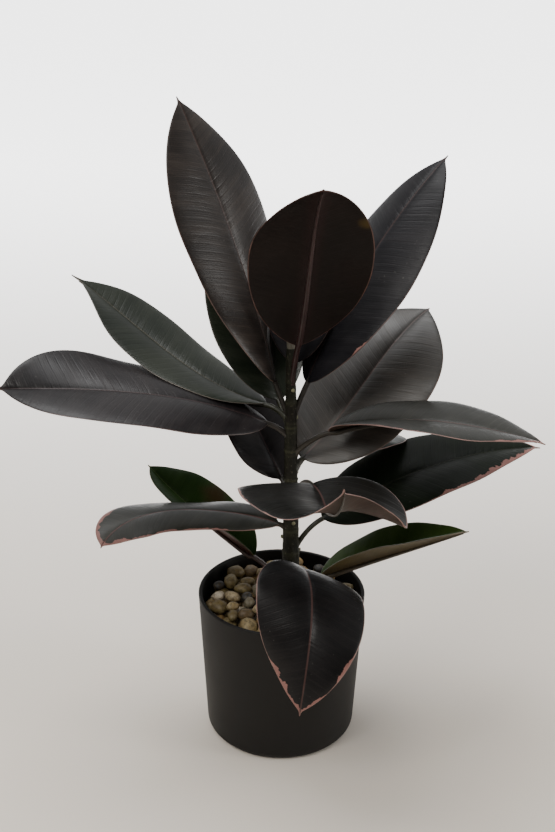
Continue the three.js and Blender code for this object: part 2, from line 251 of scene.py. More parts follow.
def ringed_rod(name, sides, rings):
    """An upright rod of unit radius and length, cut into rings, to be drawn out along a line."""
    rod = fresh(
        bpy.ops.mesh.primitive_cylinder_add, name,
        vertices=sides, radius=1, depth=1, location=(0, 0, 0.5))
    only(rod)
    bpy.ops.object.transform_apply(location=True, rotation=True, scale=True)
    bpy.ops.object.mode_set(mode="EDIT")
    for ring in range(1, rings):
        bpy.ops.mesh.select_all(action="SELECT")
        bpy.ops.mesh.bisect(plane_co=(0, 0, ring / rings), plane_no=(0, 0, 1))
    bpy.ops.object.mode_set(mode="OBJECT")
    return rod


def copy_of(piece, name):
    twin = piece.copy()
    twin.data = piece.data.copy()
    twin.name = name
    twin.data.name = name
    bpy.context.collection.objects.link(twin)
    return twin


def applied(piece, kind, **settings):
    only(piece)
    bpy.ops.object.modifier_add(type=kind)
    modifier = piece.modifiers[-1]
    for key, value in settings.items():
        setattr(modifier, key, value)
    bpy.ops.object.modifier_apply(modifier=modifier.name)


def joined(name, pieces):
    bpy.ops.object.select_all(action="DESELECT")
    for piece in pieces:
        piece.select_set(True)
    bpy.context.view_layer.objects.active = pieces[0]
    bpy.ops.object.join()
    pieces[0].name = name
    pieces[0].data.name = name
    return pieces[0]


def settle(piece, slot, *nodes):
    """The piece rides on the plant's one body and stands for its nodes; its slot is not used."""
    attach(piece, "root")
    if nodes:
        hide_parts(*nodes)


def smooth(piece, angle=60):
    only(piece)
    bpy.ops.object.shade_smooth_by_angle(angle=math.radians(angle))


def pick(piece, wanted):
    """In edit mode, selects the faces for which wanted(face) is true."""
    bpy.ops.mesh.select_mode(type="FACE")
    bpy.ops.mesh.select_all(action="DESELECT")
    bpy.ops.object.mode_set(mode="OBJECT")
    for polygon in piece.data.polygons:
        polygon.select = wanted(polygon)
    bpy.ops.object.mode_set(mode="EDIT")


def pick_edges(piece, wanted):
    """In edit mode, selects the edges whose two ends both satisfy wanted(co)."""
    bpy.ops.mesh.select_mode(type="EDGE")
    bpy.ops.mesh.select_all(action="DESELECT")
    bpy.ops.object.mode_set(mode="OBJECT")
    points = piece.data.vertices
    for edge in piece.data.edges:
        edge.select = all(wanted(points[k].co) for k in edge.vertices)
    bpy.ops.object.mode_set(mode="EDIT")


# ------------------------------------------------------------------ material helpers
def node(tree, kind, inputs=None, **settings):
    """Adds a node; each input is a value, or another node's output to link from."""
    added = tree.nodes.new("ShaderNode" + kind)
    for key, value in settings.items():
        setattr(added, key, value)
    for key, value in (inputs or {}).items():
        socket = added.inputs[key]
        if isinstance(value, bpy.types.NodeSocket):
            tree.links.new(value, socket)
        else:
            socket.default_value = value
    return added


def new_finish(name):
    finish = bpy.data.materials.new(name)
    finish.use_nodes = True
    tree = finish.node_tree
    return finish, tree, tree.nodes["Principled BSDF"]


def math_node(tree, operation, a, b=0.0, c=0.0):
    return node(tree, "Math", {0: a, 1: b, 2: c}, operation=operation).outputs[0]


def blend(tree, factor, a, b, mode="MIX"):
    mixer = node(tree, "Mix", data_type="RGBA", blend_type=mode)
    for key, value in ((0, factor), (6, a), (7, b)):
        socket = mixer.inputs[key]
        if isinstance(value, bpy.types.NodeSocket):
            tree.links.new(value, socket)
        else:
            socket.default_value = value if key == 0 else (*value, 1)
    return mixer.outputs[2]


def between(tree, value, low, high, to_low=0.0, to_high=1.0, smooth_step=True):
    kind = "SMOOTHSTEP" if smooth_step else "LINEAR"
    ranged = node(
        tree, "MapRange", {0: value, 1: low, 2: high, 3: to_low, 4: to_high}, interpolation_type=kind)
    return ranged.outputs[0]


def speckle(tree, vector, scale, detail=3.0, roughness=0.5):
    return node(
        tree, "TexNoise",
        {"Vector": vector, "Scale": scale, "Detail": detail, "Roughness": roughness}).outputs[0]


def place_of(tree):
    return node(tree, "TexCoord").outputs["Object"]


def bump(tree, height, strength, distance, under=None):
    inputs = {"Height": height, "Strength": strength, "Distance": distance}
    if under is not None:
        inputs["Normal"] = under
    return node(tree, "Bump", inputs).outputs[0]


def floor_finish():
    """Pale and a little warm near the plant, paler and glowing further back: painted light on the far
    floor.
    """
    finish, tree, shader = new_finish("pale_floor")
    place = place_of(tree)
    cloud = speckle(tree, place, 3.0, 2.0)
    # further back the floor turns paler and glows: painted light
    far_painted_light = between(tree, node(tree, "SeparateXYZ", {0: place}).outputs[1], -0.1, 2.2)
    near_tone = blend(tree, cloud, (0.83, 0.75, 0.65), (0.86, 0.785, 0.69))
    tree.links.new(blend(tree, far_painted_light, near_tone, (0.88, 0.87, 0.86)), shader.inputs["Base Color"])
    shader.inputs["Roughness"].default_value = 0.6
    shader.inputs["Emission Color"].default_value = (1, 1, 1, 1)
    tree.links.new(math_node(tree, "MULTIPLY", far_painted_light, FLOOR_GLOW), shader.inputs["Emission Strength"])
    return finish


# ------------------------------------------------------------------ leaf finishes
# Each kind of leaf: two tones of the upper side, its veins, the midrib, the underside, the margin and the
# petiole; `gloss` is how strongly the upper side mirrors, `rough` how blurred; a `stain` is a brownish
# spot given as metres across and along, its size and its colour.
SKINS = {
    "plum": dict(
        dark=(0.0060, 0.0052, 0.0060), light=(0.0125, 0.0105, 0.0115), vein=(0.030, 0.024, 0.023),
        midrib=(0.040, 0.025, 0.024), under=(0.020, 0.011, 0.009), margin=(0.10, 0.062, 0.055),
        petiole=(0.014, 0.011, 0.008)),
    # wine: its underside tone is painted shade, darkened almost to black
    "wine": dict(
        dark=(0.0060, 0.0050, 0.0055), light=(0.0120, 0.0090, 0.0100), vein=(0.022, 0.016, 0.017),
        midrib=(0.030, 0.010, 0.010), under=(0.0062, 0.0030, 0.0022), margin=(0.10, 0.045, 0.035),
        petiole=(0.016, 0.0042, 0.0040), gloss=0.34, stain=(-0.034, 0.112, 0.007, (0.060, 0.038, 0.008))),
    "ink": dict(
        dark=(0.0046, 0.0046, 0.0058), light=(0.0095, 0.0090, 0.0112), vein=(0.026, 0.023, 0.025),
        midrib=(0.040, 0.025, 0.024), under=(0.020, 0.011, 0.009), margin=(0.10, 0.062, 0.055),
        petiole=(0.014, 0.011, 0.008), gloss=0.17),
    # lighter, brownish tones and veins: painted sheen on a dark leaf
    "bronze_sheen": dict(
        dark=(0.0078, 0.0066, 0.0064), light=(0.0180, 0.0140, 0.0122), vein=(0.066, 0.049, 0.039),
        midrib=(0.052, 0.033, 0.028), under=(0.020, 0.011, 0.009), margin=(0.12, 0.075, 0.062),
        petiole=(0.014, 0.011, 0.008), gloss=0.36),
    "dusk": dict(
        dark=(0.0042, 0.0046, 0.0042), light=(0.0090, 0.0088, 0.0080), vein=(0.024, 0.022, 0.019),
        midrib=(0.100, 0.050, 0.045), under=(0.030, 0.0165, 0.0115), margin=(0.27, 0.155, 0.130),
        petiole=(0.018, 0.014, 0.009), gloss=0.16),
    "night": dict(
        dark=(0.0036, 0.0036, 0.0038), light=(0.0080, 0.0074, 0.0078), vein=(0.020, 0.017, 0.017),
        midrib=(0.075, 0.040, 0.036), under=(0.040, 0.024, 0.018), margin=(0.27, 0.155, 0.130),
        petiole=(0.018, 0.014, 0.009), gloss=0.2, rough=0.32),
    # lighter, brownish tones and veins: painted sheen on a dark leaf
    "slate_sheen": dict(
        dark=(0.0150, 0.0138, 0.0112), light=(0.0340, 0.0285, 0.0230), vein=(0.080, 0.063, 0.049),
        midrib=(0.095, 0.056, 0.046), under=(0.030, 0.018, 0.014), margin=(0.15, 0.10, 0.085),
        petiole=(0.018, 0.017, 0.010), gloss=0.70, rough=0.40),
    "fern": dict(
        dark=(0.0085, 0.0125, 0.0075), light=(0.0170, 0.0215, 0.0130), vein=(0.034, 0.038, 0.026),
        midrib=(0.060, 0.055, 0.040), under=(0.030, 0.020, 0.013), margin=(0.11, 0.09, 0.07),
        petiole=(0.018, 0.019, 0.010), gloss=0.30),
    # lighter greyish tones: a painted grey sheen on a dark leaf
    "edged_sheen": dict(
        dark=(0.0110, 0.0120, 0.0095), light=(0.0240, 0.0240, 0.0195), vein=(0.052, 0.050, 0.040),
        midrib=(0.120, 0.058, 0.052), under=(0.052, 0.030, 0.022), margin=(0.27, 0.155, 0.130),
        petiole=(0.018, 0.014, 0.009), gloss=0.42, rough=0.32),
    "moss": dict(
        dark=(0.0024, 0.0042, 0.0022), light=(0.0050, 0.0085, 0.0040), vein=(0.013, 0.019, 0.010),
        midrib=(0.022, 0.024, 0.015), under=(0.045, 0.033, 0.020), margin=(0.24, 0.14, 0.12),
        petiole=(0.018, 0.019, 0.010), gloss=0.10, rough=0.36),
    "green": dict(
        dark=(0.0190, 0.0430, 0.0060), light=(0.0340, 0.0700, 0.0100), vein=(0.055, 0.095, 0.020),
        midrib=(0.060, 0.090, 0.026), under=(0.058, 0.044, 0.018), margin=(0.13, 0.10, 0.055),
        petiole=(0.035, 0.026, 0.015), gloss=0.3),
    "fresh": dict(
        dark=(0.0070, 0.0190, 0.0035), light=(0.0140, 0.0330, 0.0060), vein=(0.030, 0.055, 0.014),
        midrib=(0.045, 0.065, 0.022), under=(0.050, 0.018, 0.013), margin=(0.09, 0.08, 0.03),
        petiole=(0.030, 0.014, 0.010), gloss=0.08, stain=(0.021, 0.058, 0.016, (0.035, 0.019, 0.008))),
}
PINK = (0.36, 0.175, 0.150)
DUST = (0.11, 0.105, 0.095)
VEIN_SLANT = 0.42
VEIN_SPACING = 0.0062
FINE_SPACING = 0.0016
VEIN_WIDTH = 0.0011
VEIN_WANDER = 0.006


def leaf_lines(tree):
    """What the patterns follow: distance from the midrib and along it, the veins, and the margin."""
    across_along = node(tree, "SeparateXYZ", {0: node(tree, "UVMap", uv_map="leaf").outputs[0]})
    margin_tip = node(tree, "SeparateXYZ", {0: node(tree, "UVMap", uv_map="margin").outputs[0]})
    aside = math_node(tree, "ABSOLUTE", across_along.outputs[0])
    wander = speckle(tree, place_of(tree), 16.0, 2.0)
    slanted = math_node(tree, "MULTIPLY_ADD", aside, -VEIN_SLANT, across_along.outputs[1])
    slanted = math_node(tree, "MULTIPLY_ADD", wander, VEIN_WANDER, slanted)
    veins = between(tree, math_node(tree, "PINGPONG", slanted, VEIN_SPACING / 2), 0.0, VEIN_WIDTH, 1, 0)
    ribs = between(tree, math_node(tree, "PINGPONG", slanted, FINE_SPACING / 2), 0.0, VEIN_WIDTH, 1, 0)
    return dict(
        across=across_along.outputs[0], along=across_along.outputs[1], aside=aside, slanted=slanted,
        veins=veins, ribs=ribs, margin=margin_tip.outputs[0], pale=margin_tip.outputs[1])


def stained(tree, lines, place, skin, colour):
    """The colour with the skin's brownish spot laid over it, where it has one."""
    if "stain" not in skin:
        return colour
    across, along_it, size, tone = skin["stain"]
    aside = math_node(tree, "SUBTRACT", lines["across"], across)
    onward = math_node(tree, "SUBTRACT", lines["along"], along_it)
    off = math_node(tree, "SQRT", math_node(
        tree, "MULTIPLY_ADD", aside, aside, math_node(tree, "MULTIPLY", onward, onward)))
    off = math_node(tree, "MULTIPLY_ADD", speckle(tree, place, 90.0, 4.0), size * 0.9, off)
    return blend(tree, between(tree, off, size * 0.6, size * 1.5, 0.8, 0), colour, tone)


def upper_finish(name, skin):
    finish, tree, shader = new_finish(name + "_upper")
    lines = leaf_lines(tree)
    place = place_of(tree)
    # soft bands of lighter colour drawn out along the side veins, over large clouds
    drawn = node(tree, "CombineXYZ", {
        0: math_node(tree, "MULTIPLY", lines["slanted"], 95.0),
        1: math_node(tree, "MULTIPLY", lines["across"], 14.0)})
    bands = between(tree, speckle(tree, drawn.outputs[0], 1.0, 4.0, 0.6), 0.40, 0.72)
    clouds = between(tree, speckle(tree, place, 14.0, 4.0), 0.36, 0.66)
    colour = blend(tree, clouds, skin["dark"], skin["light"])
    colour = blend(tree, math_node(tree, "MULTIPLY", bands, 0.30), colour, skin["vein"])
    faint = math_node(tree, "MULTIPLY", lines["veins"], math_node(tree, "MULTIPLY", clouds, 0.22))
    colour = blend(tree, faint, colour, skin["vein"])
    colour = blend(tree, math_node(tree, "MULTIPLY", lines["ribs"], 0.16), colour, skin["vein"])
    # pink patches that reach in from the margin with a ragged edge
    patch = node(tree, "CombineXYZ", {
        0: math_node(tree, "MULTIPLY", lines["slanted"], 120.0),
        1: math_node(tree, "MULTIPLY", lines["across"], 60.0)})
    ragged = between(tree, speckle(tree, patch.outputs[0], 1.0, 3.0, 0.6), 0.3, 0.7, 0.35, 1.15)
    depth = math_node(tree, "MULTIPLY", lines["pale"], ragged)
    pinked = between(tree, math_node(tree, "SUBTRACT", depth, lines["margin"]), 0.0, 0.0006)
    mottled = blend(tree, speckle(tree, place, 160.0, 4.0), PINK, tuple(0.62 * c for c in PINK))
    colour = blend(tree, math_node(tree, "MULTIPLY", pinked, 0.92), colour, mottled)
    midrib = between(tree, lines["aside"], 0.0003, 0.0011, 0.9, 0)
    colour = blend(tree, midrib, colour, skin["midrib"])
    # specks of dust and scuffs, in loose groups
    scuffs = between(tree, speckle(tree, place, 330.0, 2.0), 0.68, 0.76)
    scuffs = math_node(tree, "MULTIPLY", scuffs, between(tree, speckle(tree, place, 30.0, 2.0), 0.5, 0.7))
    colour = blend(tree, math_node(tree, "MULTIPLY", scuffs, 0.5), colour, DUST)
    colour = stained(tree, lines, place, skin, colour)
    # a pale line along the margin: the blade's own pale edge, with a painted edge highlight
    hem_and_edge_highlight = between(tree, lines["margin"], 0.0001, 0.0009, 0.7, 0)
    colour = blend(tree, hem_and_edge_highlight, colour, skin["margin"])
    tree.links.new(colour, shader.inputs["Base Color"])
    dusty = between(tree, speckle(tree, place, 55.0, 4.0), 0.3, 0.7)
    gloss = math_node(tree, "MULTIPLY_ADD", dusty, 0.10, skin.get("rough", 0.30))
    gloss = math_node(tree, "MULTIPLY_ADD", bands, 0.05, gloss)
    tree.links.new(gloss, shader.inputs["Roughness"])
    shader.inputs["Specular IOR Level"].default_value = skin.get("gloss", 0.30)
    # the side veins lie in grooves, over slow swells of the whole blade
    relief = math_node(tree, "MULTIPLY_ADD", lines["ribs"], -0.5, math_node(
        tree, "MULTIPLY", lines["veins"], -1.0))
    quilted = bump(tree, relief, 0.22, 0.00022)
    puckers = bump(tree, bands, 0.15, 0.0008, quilted)
    swells = bump(tree, speckle(tree, place, 24.0, 2.0), 0.35, 0.0022, puckers)
    pores = bump(tree, speckle(tree, place, 420.0, 3.0), 0.06, 0.0004, swells)
    tree.links.new(pores, shader.inputs["Normal"])
    return finish


def under_finish(name, skin):
    finish, tree, shader = new_finish(name + "_under")
    lines = leaf_lines(tree)
    place = place_of(tree)
    clouds = between(tree, speckle(tree, place, 26.0, 4.0), 0.3, 0.7)
    deep = tuple(0.72 * c for c in skin["under"])
    pale = tuple(1.25 * c for c in skin["under"])
    colour = blend(tree, clouds, deep, pale)
    raised = tuple(1.6 * c for c in skin["under"])
    colour = blend(tree, math_node(tree, "MULTIPLY", lines["veins"], 0.15), colour, raised)
    flesh = between(tree, lines["aside"], 0.002, 0.010, 0.5, 0)
    colour = blend(tree, flesh, colour, skin["petiole"])
    colour = stained(tree, lines, place, skin, colour)
    # the pale margin line: the blade's own pale edge, with a painted edge highlight
    colour = blend(tree, between(tree, lines["margin"], 0.0001, 0.0012, 0.7, 0), colour, skin["margin"])
    tree.links.new(colour, shader.inputs["Base Color"])
    tree.links.new(
        between(tree, speckle(tree, place, 70.0), 0.2, 0.8, 0.52, 0.66), shader.inputs["Roughness"])
    shader.inputs["Specular IOR Level"].default_value = 0.22
    relief = math_node(tree, "MULTIPLY_ADD", lines["ribs"], 0.3, lines["veins"])
    tree.links.new(bump(tree, relief, 0.18, 0.00022), shader.inputs["Normal"])
    return finish


def rim_finish(name, skin):
    finish, tree, shader = new_finish(name + "_edge")
    place = place_of(tree)
    # the cut edge in the margin tone, which also carries a painted edge highlight
    patch = between(tree, speckle(tree, place, 60.0, 2.0), 0.35, 0.65)
    dull = tuple(0.5 * c for c in skin["margin"])
    tree.links.new(blend(tree, patch, dull, skin["margin"]), shader.inputs["Base Color"])
    shader.inputs["Roughness"].default_value = 0.5
    tree.links.new(bump(tree, speckle(tree, place, 300.0), 0.2, 0.0002), shader.inputs["Normal"])
    return finish


def petiole_finish(name, skin):
    finish, tree, shader = new_finish(name + "_petiole")
    place = place_of(tree)
    streaks = between(tree, speckle(tree, place, 90.0, 4.0), 0.35, 0.65)
    pale = tuple(1.5 * c + 0.004 for c in skin["petiole"])
    tree.links.new(blend(tree, streaks, skin["petiole"], pale), shader.inputs["Base Color"])
    tree.links.new(
        between(tree, speckle(tree, place, 150.0), 0.2, 0.8, 0.34, 0.52), shader.inputs["Roughness"])
    tree.links.new(bump(tree, speckle(tree, place, 260.0, 3.0), 0.25, 0.0003), shader.inputs["Normal"])
    return finish


# ------------------------------------------------------------------ leaves
BLADE_ACROSS = 22
BLADE_ALONG = 56
CROWDING = 1.45  # above 1, a blade's cells are narrower near the midrib
ROD_SIDES = 12
ROD_RINGS = 44
PETIOLE_RINGS = 14


def along(value, s):
    """A value at s, from 0 to 1, given once, at the base, middle and tip, or at even steps."""
    if isinstance(value, (int, float)):
        return value
    if len(value) > 3:
        place = s * (len(value) - 1)
        k = min(int(place), len(value) - 2)
        return value[k] + (value[k + 1] - value[k]) * (place - k)
    a, b, c = value
    return a * (1 - s) * (1 - 2 * s) + b * 4 * s * (1 - s) + c * s * (2 * s - 1)


def outline(s, widest, neck, taper):
    """Half-width of a blade as a share of its greatest, s from the base to the drip tip."""
    if s < widest:
        return (1 - (1 - s / widest) ** 2.1) ** 0.62
    u = (s - widest) / (1 - widest)
    body = max(0.0, 1 - (u / neck) ** taper[0]) ** taper[1]
    return math.hypot(body, DRIP_TIP * min(1.0, (1 - u) / DRIP_TIP_SHARE)) / math.hypot(1, DRIP_TIP)


def direction(heading, rise):
    flat = math.cos(math.radians(rise))
    return Vector((
        flat * math.cos(math.radians(heading)), flat * math.sin(math.radians(heading)),
        math.sin(math.radians(rise))))


def stem_point(height):
    return STEM_FOOT.lerp(STEM_HEAD, height / STEM_LENGTH)


def stem_radius(height):
    share = max(0.0, height) / STEM_LENGTH
    return STEM_BASE_RADIUS + (STEM_TOP_RADIUS - STEM_BASE_RADIUS) * share


class LeafPath:
    """The line of a leaf's petiole and midrib, and how the leaf lies about it."""

    STEPS = 160

    def __init__(self, leaf):
        self.leaf = leaf
        base_rise = along(leaf["rise"], 0)
        turn = along(leaf["sweep"], 0)
        self.inside = stem_radius(leaf["height"])
        point = stem_point(leaf["height"])
        self.petiole = self.walk(
            point, leaf["petiole"] + self.inside,
            lambda s: leaf["lift"] + (base_rise - leaf["lift"]) * s * s, lambda s: turn)
        self.blade = self.walk(
            self.petiole[-1][0], leaf["length"],
            lambda s: along(leaf["rise"], s), lambda s: along(leaf["sweep"], s))

    def walk(self, point, length, rise, sweep):
        found = []
        for k in range(self.STEPS + 1):
            s = k / self.STEPS
            heading = self.leaf["heading"] + sweep(s)
            level = Vector((math.sin(math.radians(heading)), -math.cos(math.radians(heading)), 0))
            found.append((point.copy(), direction(heading, rise(s)), level))
            mid = s + 0.5 / self.STEPS
            onward = direction(self.leaf["heading"] + sweep(mid), rise(mid))
            point = point + onward * (length / self.STEPS)
        return found

    def at(self, line, s):
        place = min(max(s, 0.0), 1.0) * self.STEPS
        k = min(int(place), self.STEPS - 1)
        a, b = line[k], line[k + 1]
        return tuple(a[i].lerp(b[i], place - k) for i in range(3))

    def frame(self, line, s):
        """The point, and the directions right and up of the leaf there."""
        point, forward, level = self.at(line, s)
        roll = math.radians(along(self.leaf["roll"], max(0.0, s) if line is self.blade else 0.0))
        right = Matrix.Rotation(roll, 3, forward) @ level
        return point, right, right.cross(forward)


def half_width(leaf, s):
    share = outline(s, leaf["widest"], leaf.get("neck", 0.96), leaf.get("taper", (2.3, 0.9)))
    return max(leaf["width"] / 2 * share, LEAST_HALF_WIDTH)


def blade_point(path, v, s, seed):
    """Where the blade's middle surface lies at v across, from -1 to 1, and s along it."""
    leaf = path.leaf
    point, right, up = path.frame(path.blade, s)
    half = half_width(leaf, s)
    breadth = min(1.0, half / RIPPLE_FADE)
    fold = math.radians(along(leaf["fold"], s))
    reach = abs(v)
    x = half * reach * math.cos(fold) * (1 if v >= 0 else -1)
    z = half * reach * math.sin(fold)
    ripple = math.sin(s * 11 + seed + (1.9 if v > 0 else 0)) + 0.5 * math.sin(s * 23 + 2 * seed)
    z += RIPPLE * ripple * reach ** 2 * breadth
    z += BULGE * half * math.sin(math.pi * reach ** 0.8)
    z -= MARGIN_TURN * max(0.0, (reach - MARGIN_TURN_FROM) / MARGIN_TURN_OVER) ** 2 * breadth
    z -= MIDRIB_GROOVE * math.exp(-((half * reach / MIDRIB_GROOVE_WIDTH) ** 2))
    return point + right * x + up * z


def spread(t):
    """Rows closer together at the base and at the tip."""
    return 0.5 * (1 - math.cos(math.pi * t)) * 0.65 + t * 0.35


def blank_blade():
    """A flat grid, its cells narrower by the midrib. Every blade is bent from a copy of it."""
    blank = fresh(
        bpy.ops.mesh.primitive_grid_add, "blank_blade",
        x_subdivisions=BLADE_ACROSS, y_subdivisions=BLADE_ALONG, size=2, calc_uvs=True)
    blank.data.uv_layers[0].name = "leaf"
    blank.data.uv_layers.new(name="margin")
    for vertex in blank.data.vertices:
        vertex.co.x = math.copysign(abs(vertex.co.x) ** CROWDING, vertex.co.x)
    return blank


def blank_rod():
    """A straight rod. Every petiole with its midrib is bent from a copy of it."""
    rod = ringed_rod("blank_rod", ROD_SIDES, ROD_RINGS)
    for layer in list(rod.data.uv_layers):
        rod.data.uv_layers.remove(layer)
    for name in ("leaf", "margin"):
        rod.data.uv_layers.new(name=name)
    return rod


def pale_depth(leaf, v, s):
    """How far the pale pink reaches in from the margin at s along the blade, on the side of v."""
    deepest = 0.0
    for side, start, end, depth in leaf.get("pale", ()):
        if side * v > 0:
            rise = min(1.0, max(0.0, (s - start) / PALE_FADE + 0.5))
            fall = min(1.0, max(0.0, (end - s) / PALE_FADE + 0.5))
            deepest = max(deepest, depth * rise * fall)
    return deepest


def bend_blade(blade, path, seed):
    """Bends a flat grid into the blade, and marks on it what the patterns of the finish follow."""
    mesh, leaf = blade.data, path.leaf
    marks = []
    for vertex in mesh.vertices:
        v, s = vertex.co.x, spread((vertex.co.y + 1) / 2)
        half = half_width(leaf, s)
        vertex.co = blade_point(path, v, s, seed)
        to_margin = min((1 - abs(v)) * half, (1 - s) * leaf["length"])
        marks.append((v * half, s * leaf["length"], to_margin, pale_depth(leaf, v, s)))
    for loop in mesh.loops:
        across, along_it, to_margin, pale = marks[loop.vertex_index]
        mesh.uv_layers["leaf"].uv[loop.index].vector = (across, along_it)
        mesh.uv_layers["margin"].uv[loop.index].vector = (to_margin, pale)


def bend_rod(rod, path):
    """The petiole, from just inside the bark, and on under the blade as the raised midrib."""
    leaf = path.leaf
    start = (path.inside - PETIOLE_IN_BARK) / (leaf["petiole"] + path.inside)
    petiole_share = PETIOLE_RINGS / ROD_RINGS
    for vertex in rod.data.vertices:
        x, y, t = vertex.co
        if t <= petiole_share:
            s = start + (1 - start) * t / petiole_share
            from_stem = (s - start) * (leaf["petiole"] + path.inside)
            flare = PETIOLE_FLARE * math.exp(-from_stem / PETIOLE_FLARE_LENGTH)
            radius = PETIOLE_RADIUS * (PETIOLE_WAIST + flare)
            point, right, up = path.frame(path.petiole, s)
            sunk = 0.0008 * (t / petiole_share) ** 3
        else:
            s = MIDRIB_REACH * (t - petiole_share) / (1 - petiole_share)
            radius = PETIOLE_RADIUS * PETIOLE_WAIST * (1 - s) ** 0.8 + 0.0003
            point, right, up = path.frame(path.blade, s)
            sunk = radius * 0.75 + 0.0006 if s > 0.02 else 0.0008 + (radius * 0.75 - 0.0002) * s / 0.02
        vertex.co = point + right * (x * radius) + up * (y * radius - sunk)


def make_leaves():
    """Each leaf: its blade, bent and thickened, joined to its petiole and midrib."""
    blank, rod = blank_blade(), blank_rod()
    finishes = {}
    for name, skin in SKINS.items():
        finishes[name] = [
            upper_finish(name, skin), under_finish(name, skin), rim_finish(name, skin),
            petiole_finish(name, skin)]
    for number, (name, leaf) in enumerate(LEAVES.items()):
        path = LeafPath(leaf)
        blade = copy_of(blank, name + "_blade")
        bend_blade(blade, path, number * 1.7)
        for finish in finishes[leaf["skin"]]:
            blade.data.materials.append(finish)
        applied(
            blade, "SOLIDIFY", thickness=BLADE_THICKNESS, offset=0, material_offset=1,
            material_offset_rim=2, use_even_offset=True)
        applied(blade, "SUBSURF", levels=1, render_levels=1)
        midrib = copy_of(rod, name + "_midrib")
        bend_rod(midrib, path)
        for finish in finishes[leaf["skin"]]:
            midrib.data.materials.append(finish)
        for polygon in midrib.data.polygons:
            polygon.material_index = 3
        whole = joined(name + "_look", [blade, midrib])
        smooth(whole, 50)
        settle(whole, "leaf_green" if leaf["skin"] in ("green", "fresh") else "leaf", name)
    for spare in (blank, rod):
        bpy.data.objects.remove(spare)


# ------------------------------------------------------------------ stem and bud
def bark_finish():
    finish, tree, shader = new_finish("stem_bark")
    place = place_of(tree)
    stretched = node(tree, "Mapping", {0: place, 3: (1.0, 1.0, 0.3)}).outputs[0]
    streaks = between(tree, speckle(tree, stretched, 220.0, 5.0, 0.6), 0.3, 0.7)
    colour = blend(tree, streaks, (0.0040, 0.0044, 0.0026), (0.0135, 0.0140, 0.0075))
    mossy = between(tree, speckle(tree, place, 45.0, 3.0), 0.4, 0.62)
    colour = blend(tree, math_node(tree, "MULTIPLY", mossy, 0.6), colour, (0.0095, 0.0072, 0.0055))
    scar = node(tree, "Attribute", attribute_name="scar").outputs["Fac"]
    colour = blend(tree, math_node(tree, "MULTIPLY", scar, 0.6), colour, (0.060, 0.062, 0.034))
    pores = between(tree, speckle(tree, place, 520.0, 2.0), 0.62, 0.70)
    colour = blend(tree, math_node(tree, "MULTIPLY", pores, 0.5), colour, (0.075, 0.070, 0.045))
    tree.links.new(colour, shader.inputs["Base Color"])
    shader.inputs["Roughness"].default_value = 0.6
    shader.inputs["Specular IOR Level"].default_value = 0.2
    rough = bump(tree, streaks, 0.8, 0.0007)
    tree.links.new(bump(tree, pores, 0.4, 0.0003, rough), shader.inputs["Normal"])
    return finish


def bud_finish():
    finish, tree, shader = new_finish("bud_sheath")
    place = place_of(tree)
    stretched = node(tree, "Mapping", {0: place, 3: (1.0, 1.0, 0.2)}).outputs[0]
    streaks = between(tree, speckle(tree, stretched, 300.0, 4.0), 0.3, 0.7)
    tree.links.new(
        blend(tree, streaks, (0.085, 0.080, 0.060), (0.15, 0.14, 0.11)), shader.inputs["Base Color"])
    shader.inputs["Roughness"].default_value = 0.42
    tree.links.new(bump(tree, streaks, 0.3, 0.0003), shader.inputs["Normal"])
    return finish


def make_stem():
    """The woody stem, from its foot in the soil, with its ring scars marked for the bark."""
    stem = ringed_rod("stem_look", STEM_SIDES, STEM_RINGS)
    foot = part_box("stem")[0][2] - GRAVEL_TOP
    scars = stem.data.attributes.new("scar", "FLOAT", "POINT")
    for vertex in stem.data.vertices:
        x, y, t = vertex.co
        height = foot + (STEM_LENGTH - foot) * t
        near = min(abs(scar - height) for scar in SCARS)
        swell = SCAR_SWELL * math.exp(-((near / SCAR_SWELL_WIDTH) ** 2))
        notch = SCAR_NOTCH * math.exp(-(((near - SCAR_NOTCH_OFFSET) / SCAR_NOTCH_WIDTH) ** 2))
        radius = stem_radius(height) + swell - notch
        radius += STEM_KNOBBLES * noise.noise(Vector((x * 2.2, y * 2.2, height * 160)))
        vertex.co = stem_point(height) + Vector((x * radius, y * radius, 0))
        line = math.exp(-((near / SCAR_LINE_WIDTH) ** 2))
        faint_line = 0.6 * math.exp(-(((near - FAINT_LINE_OFFSET) / FAINT_LINE_WIDTH) ** 2))
        scars.data[vertex.index].value = max(line, faint_line)
    stem.data.materials.append(bark_finish())
    smooth(stem, 60)
    settle(stem, "stem", "stem")


def make_bud():
    """The pointed sheath at the stem's top, with the seam that winds round it."""
    low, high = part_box("terminal_bud")
    length = high[2] - low[2]
    bud = ringed_rod("bud_look", BUD_SIDES, BUD_RINGS)
    foot = stem_point(STEM_LENGTH)
    lean = math.radians(BUD_LEAN)
    for vertex in bud.data.vertices:
        x, y, t = vertex.co
        radius = BUD_RADIUS * (1 - t) ** 0.6 * (1 + 0.25 * math.sin(math.pi * t)) + 0.0001
        from_seam = (math.atan2(y, x) - 5 * t) % math.tau - math.pi
        radius *= 1 - 0.10 * math.exp(-(from_seam / 0.35) ** 2)
        vertex.co = foot + Vector((
            x * radius, y * radius - t * length * math.sin(lean),
            t * length * math.cos(lean) - BUD_SINK))
    bud.data.materials.append(bud_finish())
    smooth(bud, 60)
    settle(bud, "bud", "terminal_bud")


def sprout_finish():
    finish, tree, shader = new_finish("pale_sprout")
    patch = between(tree, speckle(tree, place_of(tree), 420.0, 3.0), 0.3, 0.7)
    tree.links.new(
        blend(tree, patch, (0.105, 0.110, 0.060), (0.20, 0.19, 0.115)), shader.inputs["Base Color"])
    shader.inputs["Roughness"].default_value = 0.5
    return finish


